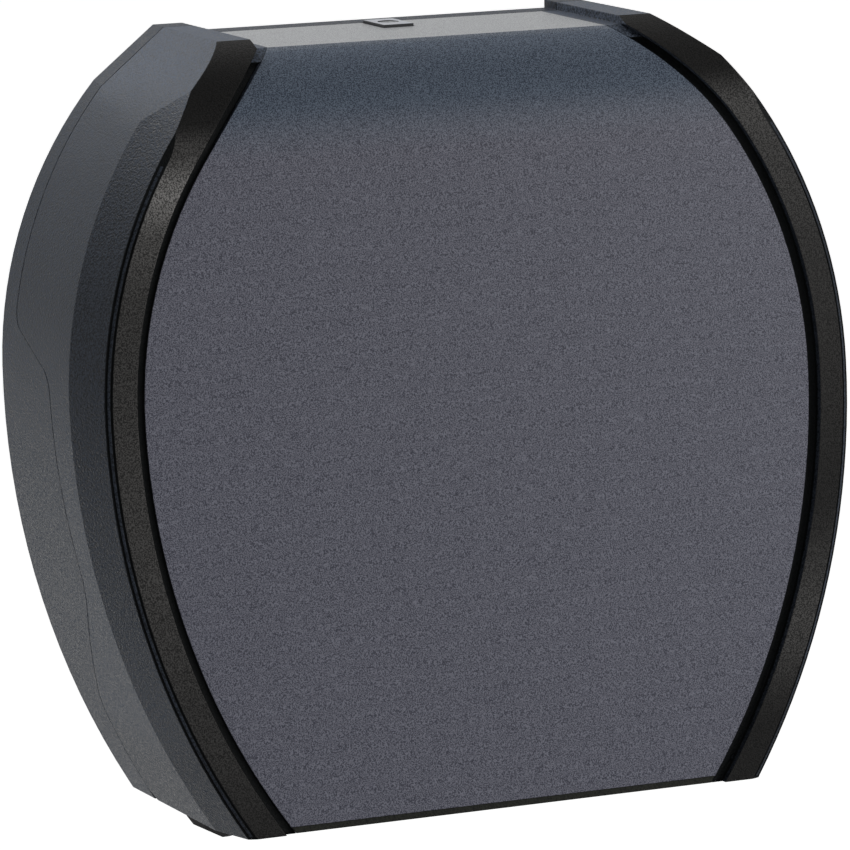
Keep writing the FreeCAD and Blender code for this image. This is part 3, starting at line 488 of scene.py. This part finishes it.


# smoke panel: grey over the front, with painted reflection: darker blue-grey at the brow and pale on the
# top
smokePanel = {
    "main": (50, 51, 64),
    "mainLight": (121, 122, 134),
    # brow and top colours are painted reflection of the bend and of the top face; main is the panel's own
    # smoke grey
    "brow": (34, 44, 60),
    "browLight": (104, 115, 130),
    "top": (100, 102, 105),
    "topLight": (164, 166, 168),
    "browSpan": (0.116, 0.136),    # heights between which the front turns into the brow, in metres
    "topSpan": (0.86, 0.97),       # how far faces look up where the brow turns into the top
    "grain": (2000, 2.5, 0.6),
    "grainSpan": (0.42, 0.58),
    "roughness": (0.36, 0.5),
    "specular": 0.2,
    "bump": 0.3,
    "bumpDepth": 0.0002,
    "edge": 0.0004,
}


def makeSmokePlastic(values):
    material, tree, shader = startMaterial("smokePlastic")
    spot = place3d(tree)
    grain = noise(tree, spot, values["grain"])
    speckle = spread(tree, grain, values["grainSpan"], (0, 1))

    def tinted(tone):
        return blendColors(tree, speckle, screenColor(values[tone]), screenColor(values[tone + "Light"]))

    # painted reflection: blue-grey by height at the brow, pale where faces look up
    brow = spread(tree, along(tree, spot, "Z"), values["browSpan"], (0, 1))
    topReflection = spread(tree, facingUp(tree), values["topSpan"], (0, 1))
    front = blendColors(tree, brow, tinted("main"), tinted("brow"))
    connect(tree, shader, {"Base Color": blendColors(tree, topReflection, front, tinted("top")),
                           "Specular IOR Level": values["specular"],
                           "Roughness": spread(tree, grain, noiseSpan, values["roughness"])})
    addBump(tree, shader, grain, values["bump"], values["bumpDepth"], values["edge"])
    return material


dress(["smoke_panel"], makeSmokePlastic(smokePanel))
print("case and panel dressed")


# smooth moulded plastics: tear bars, spindle, hub, washer and lock
smoothPlastic = {
    "specular": 0.3,
    "flow": (60, 4, 0.6),      # slow change of tone and gloss
    "flowSpan": (0.35, 0.65),
    "deeper": 0.8,             # share of the colour in the darker places
    "glossier": 0.06,
    "rougher": 0.08,
    "fine": (2400, 2, 0.6),
    "bump": 0.12,
    "bumpDepth": 0.0001,
    "edge": 0.0003,
    "sideSpan": (0.5, 0.9),    # how far faces look up where the side colour turns into the main one
}
smoothPieces = {
    "barPlastic": {"color": (8, 8, 9), "roughness": 0.6, "specular": 0.03,
                   "nodes": ["tear_bar_left", "tear_bar_right"]},
    "spindlePlastic": {"color": (120, 123, 128), "roughness": 0.42, "nodes": ["roll_spindle"]},
    "hubPlastic": {"color": (205, 207, 208), "roughness": 0.45, "nodes": ["roll_hub"]},
    "plugPlastic": {"color": (150, 152, 155), "roughness": 0.4, "nodes": ["lock_plug"]},
    # the lock's dark side colour is painted shade on its upright faces
    "lockPlastic": {"color": (166, 169, 176), "side": (22, 24, 28), "roughness": 0.45,
                    "nodes": ["lock_housing"]},
    "washerRubber": {"color": (24, 24, 24), "roughness": 0.75, "nodes": ["friction_washer"]},
}


def makeSmoothPlastic(name, values):
    material, tree, shader = startMaterial(name)
    spot = place3d(tree)
    flow = noise(tree, spot, values["flow"])
    color = screenColor(values["color"])
    deeper = [channel * values["deeper"] for channel in color[:3]] + [1]
    mixed = blendColors(tree, spread(tree, flow, values["flowSpan"], (0, 1)), deeper, color)
    if "side" in values:
        # painted shade: the narrow edge round the upper face is darker
        upward = spread(tree, facingUp(tree), values["sideSpan"], (0, 1))
        mixed = blendColors(tree, upward, screenColor(values["side"]), mixed)
    rough = (values["roughness"] - values["glossier"], values["roughness"] + values["rougher"])
    connect(tree, shader, {"Base Color": mixed, "Specular IOR Level": values["specular"],
                           "Roughness": spread(tree, flow, noiseSpan, rough)})
    fine = noise(tree, spot, values["fine"])
    addBump(tree, shader, fine, values["bump"], values["bumpDepth"], values["edge"])
    return material


for name, values in smoothPieces.items():
    dress(values["nodes"], makeSmoothPlastic(name, dict(smoothPlastic, **values)))


# metals: zinc plated screws and plates, ground pins, spring steel
metal = {
    "stretch": (1, 0.12, 1),   # draws the streaks out from front to back
    "worn": 0.72,              # share of the colour in the darker streaks
    "glossier": 0.08,
    "rougher": 0.12,
    "bump": 0.15,
    "bumpDepth": 0.0001,
    "edge": 0.0003,
}
metals = {
    # the screws below take the first one
    "zincSteel": {"color": (178, 180, 184), "roughness": 0.32, "streaks": (500, 4, 0.65), "nodes": []},
    "plateSteel": {"color": (165, 168, 172), "roughness": 0.36, "streaks": (900, 4, 0.65),
                   "nodes": ["lock_keeper", "lock_cam"]},
    "pinSteel": {"color": (150, 152, 156), "roughness": 0.25, "streaks": (1400, 4, 0.65),
                 "nodes": ["hinge_pins"]},
    "springSteel": {"color": (96, 98, 104), "roughness": 0.3, "streaks": (700, 4, 0.65),
                    "nodes": ["hub_clip"]},
}


def makeMetal(name, values):
    material, tree, shader = startMaterial(name)
    stretched = addNode(tree, "Mapping", {"Vector": place3d(tree), "Scale": values["stretch"]}).outputs[0]
    streak = noise(tree, stretched, values["streaks"])
    color = screenColor(values["color"])
    worn = [channel * values["worn"] for channel in color[:3]] + [1]
    streaked = blendColors(tree, spread(tree, streak, noiseSpan, (0, 1)), worn, color)
    rough = (values["roughness"] - values["glossier"], values["roughness"] + values["rougher"])
    connect(tree, shader, {"Base Color": streaked, "Metallic": 1,
                           "Roughness": spread(tree, streak, noiseSpan, rough)})
    addBump(tree, shader, streak, values["bump"], values["bumpDepth"], values["edge"])
    return material


finishes = {name: makeMetal(name, dict(metal, **values)) for name, values in metals.items()}
for name, values in metals.items():
    dress(values["nodes"], finishes[name])
print("inner pieces dressed")


# screws: pan heads with a cross recess and a thread, at the places of the plain CAD screws;
# lengths in millimetres
screws = {
    "sides": 24,
    "headProfile": ((2.95, 0.0), (3.0, 0.35), (2.92, 0.9), (2.6, 1.4), (2.05, 1.75), (1.75, 1.82)),
    "recessHalf": 1.25,        # half the length of the recess
    "recessWidth": 0.6,
    "recessDepth": 1.05,
    "recessTaper": 0.8,        # size of its floor, as a share of its mouth
    "threadPitch": 0.9,
    "threadDepth": 0.32,
    "plainShare": 0.6,         # the shank stays plain for this share of a pitch below the head
    "tip": 1.2,
    "tipRadius": 0.2,
    "seatReach": 0.2,          # how near to the widest ring a point belongs to the head
    "tipReach": 0.3,           # and how near to the end a point belongs to the tip
    "softAngle": 35,
    "nodes": {
        "spindle_screws": ("spindleScrews", "housing"),
        "tear_bar_screws": ("tearBarScrews", "housing"),
        "lock_housing_screws": ("lockFootScrews", "housing"),
        "keeper_screws": ("keeperScrews", "cover"),
        "rail_screws": ("railScrews", "cover"),
        "cam_screw": ("camScrew", "lock"),
    },
}
millimetre = 0.001


def islandsOf(work):
    # the points of each separate solid in a mesh, in millimetres
    seen, found = set(), []
    for start in work.verts:
        if start in seen:
            continue
        seen.add(start)
        group = [start]
        for vert in group:
            for edge in vert.link_edges:
                near = edge.other_vert(vert)
                if near not in seen:
                    seen.add(near)
                    group.append(near)
        found.append(np.array([tuple(vert.co) for vert in group]) / millimetre)
    return found


def screwProfile(length, radius):
    # pairs of radius and height from the tip to the top of the head, with the seat at height 0
    core, pitch = radius - screws["threadDepth"], screws["threadPitch"]
    profile = [(screws["tipRadius"], -length), (core, -length + screws["tip"])]
    level = -length + screws["tip"] + pitch / 2
    while level < -pitch * screws["plainShare"]:
        profile += [(radius, level), (core, level + pitch / 2)]
        level += pitch
    return profile + [(radius, 0.0)] + list(screws["headProfile"])


def addScrew(work, points):
    # the longest way through the points is the axis, and the widest ring is the seat of the head
    middle = points.mean(axis=0)
    axis = np.linalg.svd(points - middle)[2][0]
    height = (points - middle) @ axis
    wide = np.linalg.norm(points - middle - np.outer(height, axis), axis=1)
    if height[wide.argmax()] < 0:
        axis, height = -axis, -height
    seat = height[wide > wide.max() - screws["seatReach"]].min()
    radius = wide[height < height.min() + screws["tipReach"]].max()
    profile = screwProfile(seat - height.min(), radius)
    way = Vector(axis)
    turn = way.to_track_quat("Z", "Y").to_matrix()
    base = Vector(middle + axis * seat)

    def addLoop(corners, level):
        return [work.verts.new((base + turn @ Vector((x, y, level))) * millimetre) for x, y in corners]

    def addWall(low, high):
        for index in range(len(low)):
            after = (index + 1) % len(low)
            work.faces.new((low[index], low[after], high[after], high[index]))

    angles = [2 * math.pi * step / screws["sides"] for step in range(screws["sides"])]
    rings = [addLoop([(radius * math.cos(angle), radius * math.sin(angle)) for angle in angles], level)
             for radius, level in profile]
    for low, high in zip(rings, rings[1:]):
        addWall(low, high)
    work.faces.new(rings[0][::-1])
    half, arm, top = screws["recessHalf"], screws["recessWidth"] / 2, profile[-1][1]
    cross = [(half, -arm), (half, arm), (arm, arm), (arm, half), (-arm, half), (-arm, arm), (-half, arm),
             (-half, -arm), (-arm, -arm), (-arm, -half), (arm, -half), (arm, -arm)]
    mouth = addLoop(cross, top)
    floor = addLoop([(x * screws["recessTaper"], y * screws["recessTaper"]) for x, y in cross],
                    top - screws["recessDepth"])
    addWall(floor, mouth)
    work.faces.new(floor)
    rim = [work.edges.get((loop[index], loop[(index + 1) % len(loop)]))
           for loop in (rings[-1], mouth) for index in range(len(loop))]
    bmesh.ops.triangle_fill(work, edges=rim, use_beauty=True, normal=way)


for node, (name, body) in screws["nodes"].items():
    source = copyNode(node)
    work = bmesh.new()
    for points in islandsOf(source):
        addScrew(work, points)
    source.free()
    bmesh.ops.recalc_face_normals(work, faces=work.faces)
    smoothEdges(work, lambda edge: screws["softAngle"])
    addPiece(name, work, [finishes["zincSteel"]], body, node)
print("screws made")


# wound tissue: layers on its sides, embossed dots round its outside and a loose end; in metres
tissueRoll = {
    "sides": 200,
    "rings": 34,
    "coreRadius": 0.0301,
    "outerRadius": 0.1238,
    "tailStep": 0.0005,        # thickness of the loose end on the outside
    "tailAngle": 205,          # where the loose end lies, in degrees
    "rounding": 0.0012,
    "unevenness": 0.00035,     # how far the layers stand back from the side
    "seed": 4,
    "softAngle": 50,
}
tissue = {
    "paper": (240, 240, 237),
    "shade": (214, 213, 208),
    "layers": 0.0012,          # distance between the rings that show on the side of the roll
    "wander": 0.0012,          # how far the rings wander
    "wanderNoise": (40, 2, 0.5),
    "emboss": 0.009,           # distance between the rows of dots on the outside
    "dotPower": 2.0,
    "dotHeight": 1.6,
    "dotSpan": (0.0008, 0.0002),   # depths below the outside between which the dots begin
    "soft": (700, 4, 0.65),
    "softShare": 0.5,
    "softHeight": 2.0,
    "layerShare": 0.5,
    "roughness": 0.92,
    "specular": 0.2,
    "bump": 0.5,
    "bumpDepth": 0.0003,
}


def makeTissue(values):
    material, tree, shader = startMaterial("woundTissue")
    spot = place3d(tree)
    centred = addNode(tree, "Mapping", {"Vector": spot, "Location": (0, 0, -rollAxis)}).outputs[0]
    x, y, z = (along(tree, centred, axis) for axis in "XYZ")
    squares = maths(tree, "ADD", maths(tree, "MULTIPLY", x, x), maths(tree, "MULTIPLY", z, z))
    radius = maths(tree, "SQRT", squares)
    wander = maths(tree, "MULTIPLY", noise(tree, spot, values["wanderNoise"]), values["wander"])
    wound = maths(tree, "MULTIPLY", maths(tree, "ADD", radius, wander), 2 * math.pi / values["layers"])
    layers = maths(tree, "SINE", wound)
    around = maths(tree, "MULTIPLY", maths(tree, "ARCTAN2", x, z), tissueRoll["outerRadius"])
    rows = []
    for kind in ("ADD", "SUBTRACT"):
        slanted = maths(tree, kind, around, y)
        rows.append(maths(tree, "SINE", maths(tree, "MULTIPLY", slanted, 2 * math.pi / values["emboss"])))
    crossed = maths(tree, "ABSOLUTE", maths(tree, "MULTIPLY", *rows))
    reach = [tissueRoll["outerRadius"] - depth for depth in values["dotSpan"]]
    outside = spread(tree, radius, reach, (0, values["dotHeight"]))
    dots = maths(tree, "MULTIPLY", maths(tree, "POWER", crossed, values["dotPower"]), outside)
    soft = noise(tree, spot, values["soft"])
    factor = maths(tree, "ADD", spread(tree, layers, (-1, 1), (0, values["layerShare"])),
                   maths(tree, "MULTIPLY", soft, values["softShare"]))
    color = blendColors(tree, factor, screenColor(values["shade"]), screenColor(values["paper"]))
    connect(tree, shader, {"Base Color": color, "Roughness": values["roughness"],
                           "Specular IOR Level": values["specular"]})
    relief = maths(tree, "ADD", layers, maths(tree, "MULTIPLY", soft, values["softHeight"]))
    addBump(tree, shader, maths(tree, "SUBTRACT", relief, dots), values["bump"], values["bumpDepth"])
    return material


def makeRoll():
    low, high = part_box("paper_roll")
    front, back = low[1], high[1]
    inner, outer = tissueRoll["coreRadius"], tissueRoll["outerRadius"]
    work = bmesh.new()
    waves = np.random.RandomState(tissueRoll["seed"]).uniform(-1, 1, tissueRoll["rings"] + 1)

    def loop(share, level):
        verts = []
        for step in range(tissueRoll["sides"]):
            angle = 2 * math.pi * step / tissueRoll["sides"]
            late = ((math.degrees(angle) - tissueRoll["tailAngle"]) % 360) / 360
            radius = inner + (outer + tissueRoll["tailStep"] * late - inner) * share
            spot = (radius * math.cos(angle), level, rollAxis + radius * math.sin(angle))
            verts.append(work.verts.new(spot))
        return verts

    def side(level, sign):
        # rings from the core to the rounded rim, each a little behind the side's plane
        flat = 1 - tissueRoll["rounding"] / outer
        shares = [index / tissueRoll["rings"] * flat for index in range(tissueRoll["rings"] + 1)]
        rings = [loop(share, level + sign * tissueRoll["unevenness"] * (1 + wave) / 2)
                 for share, wave in zip(shares, waves)]
        return rings + [loop(1, level + sign * tissueRoll["rounding"])]

    rows = side(front, 1)
    rows += side(back, -1)[::-1]
    for index, first in enumerate(rows):
        second = rows[(index + 1) % len(rows)]
        for step in range(tissueRoll["sides"]):
            after = (step + 1) % tissueRoll["sides"]
            work.faces.new((first[step], first[after], second[after], second[step]))
    bmesh.ops.recalc_face_normals(work, faces=work.faces)
    smoothEdges(work, lambda edge: tissueRoll["softAngle"])
    addPiece("tissueRoll", work, [makeTissue(tissue)], "roll", "paper_roll")


makeRoll()


# cardboard core of the roll
cardboard = {
    "base": (158, 130, 98),
    "fleck": (122, 96, 68),
    "fibres": (900, 6, 0.7),
    "roughness": 0.85,
    "bump": 0.3,
    "bumpDepth": 0.0002,
}


def makeCardboard(values):
    material, tree, shader = startMaterial("cardboard")
    fibres = noise(tree, place3d(tree), values["fibres"])
    color = blendColors(tree, spread(tree, fibres, noiseSpan, (0, 1)), screenColor(values["fleck"]),
                        screenColor(values["base"]))
    connect(tree, shader, {"Base Color": color, "Roughness": values["roughness"]})
    addBump(tree, shader, fibres, values["bump"], values["bumpDepth"])
    return material


dress(["roll_core"], makeCardboard(cardboard))
print("roll dressed")
